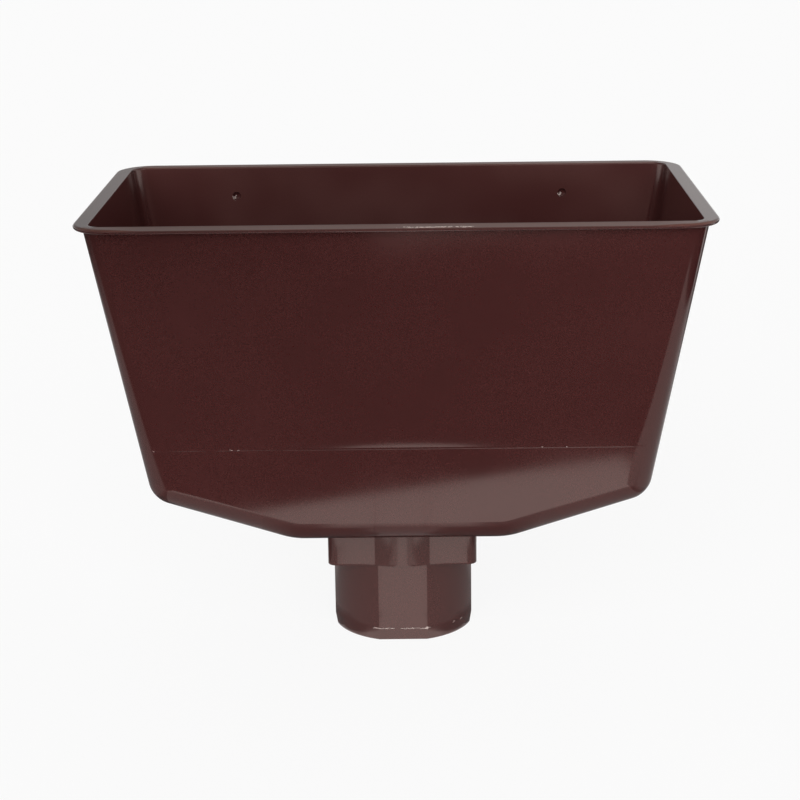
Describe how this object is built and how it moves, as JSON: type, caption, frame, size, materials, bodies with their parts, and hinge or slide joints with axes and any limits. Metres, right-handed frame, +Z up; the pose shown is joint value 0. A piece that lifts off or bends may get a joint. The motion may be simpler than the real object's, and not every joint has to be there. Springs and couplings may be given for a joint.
{
  "type": "downpipe hopper head",
  "caption": "Open rainwater hopper head: tapered box with a rolled-out lip, a floor falling to a sump and one outlet spigot for a round or square downpipe.",
  "frame": {"origin": "on the outlet axis, at the open end of the spigot", "axes": "+X along the building wall, +Y towards the wall behind the hopper, +Z up out of the mouth"},
  "size_m": [0.252, 0.147, 0.1965],
  "materials": {
    "pvc_u_brown": "gloss"
  },
  "bodies": {
    "root": {"hopper_head": "pvc_u_brown"}
  },
  "joints": []
}
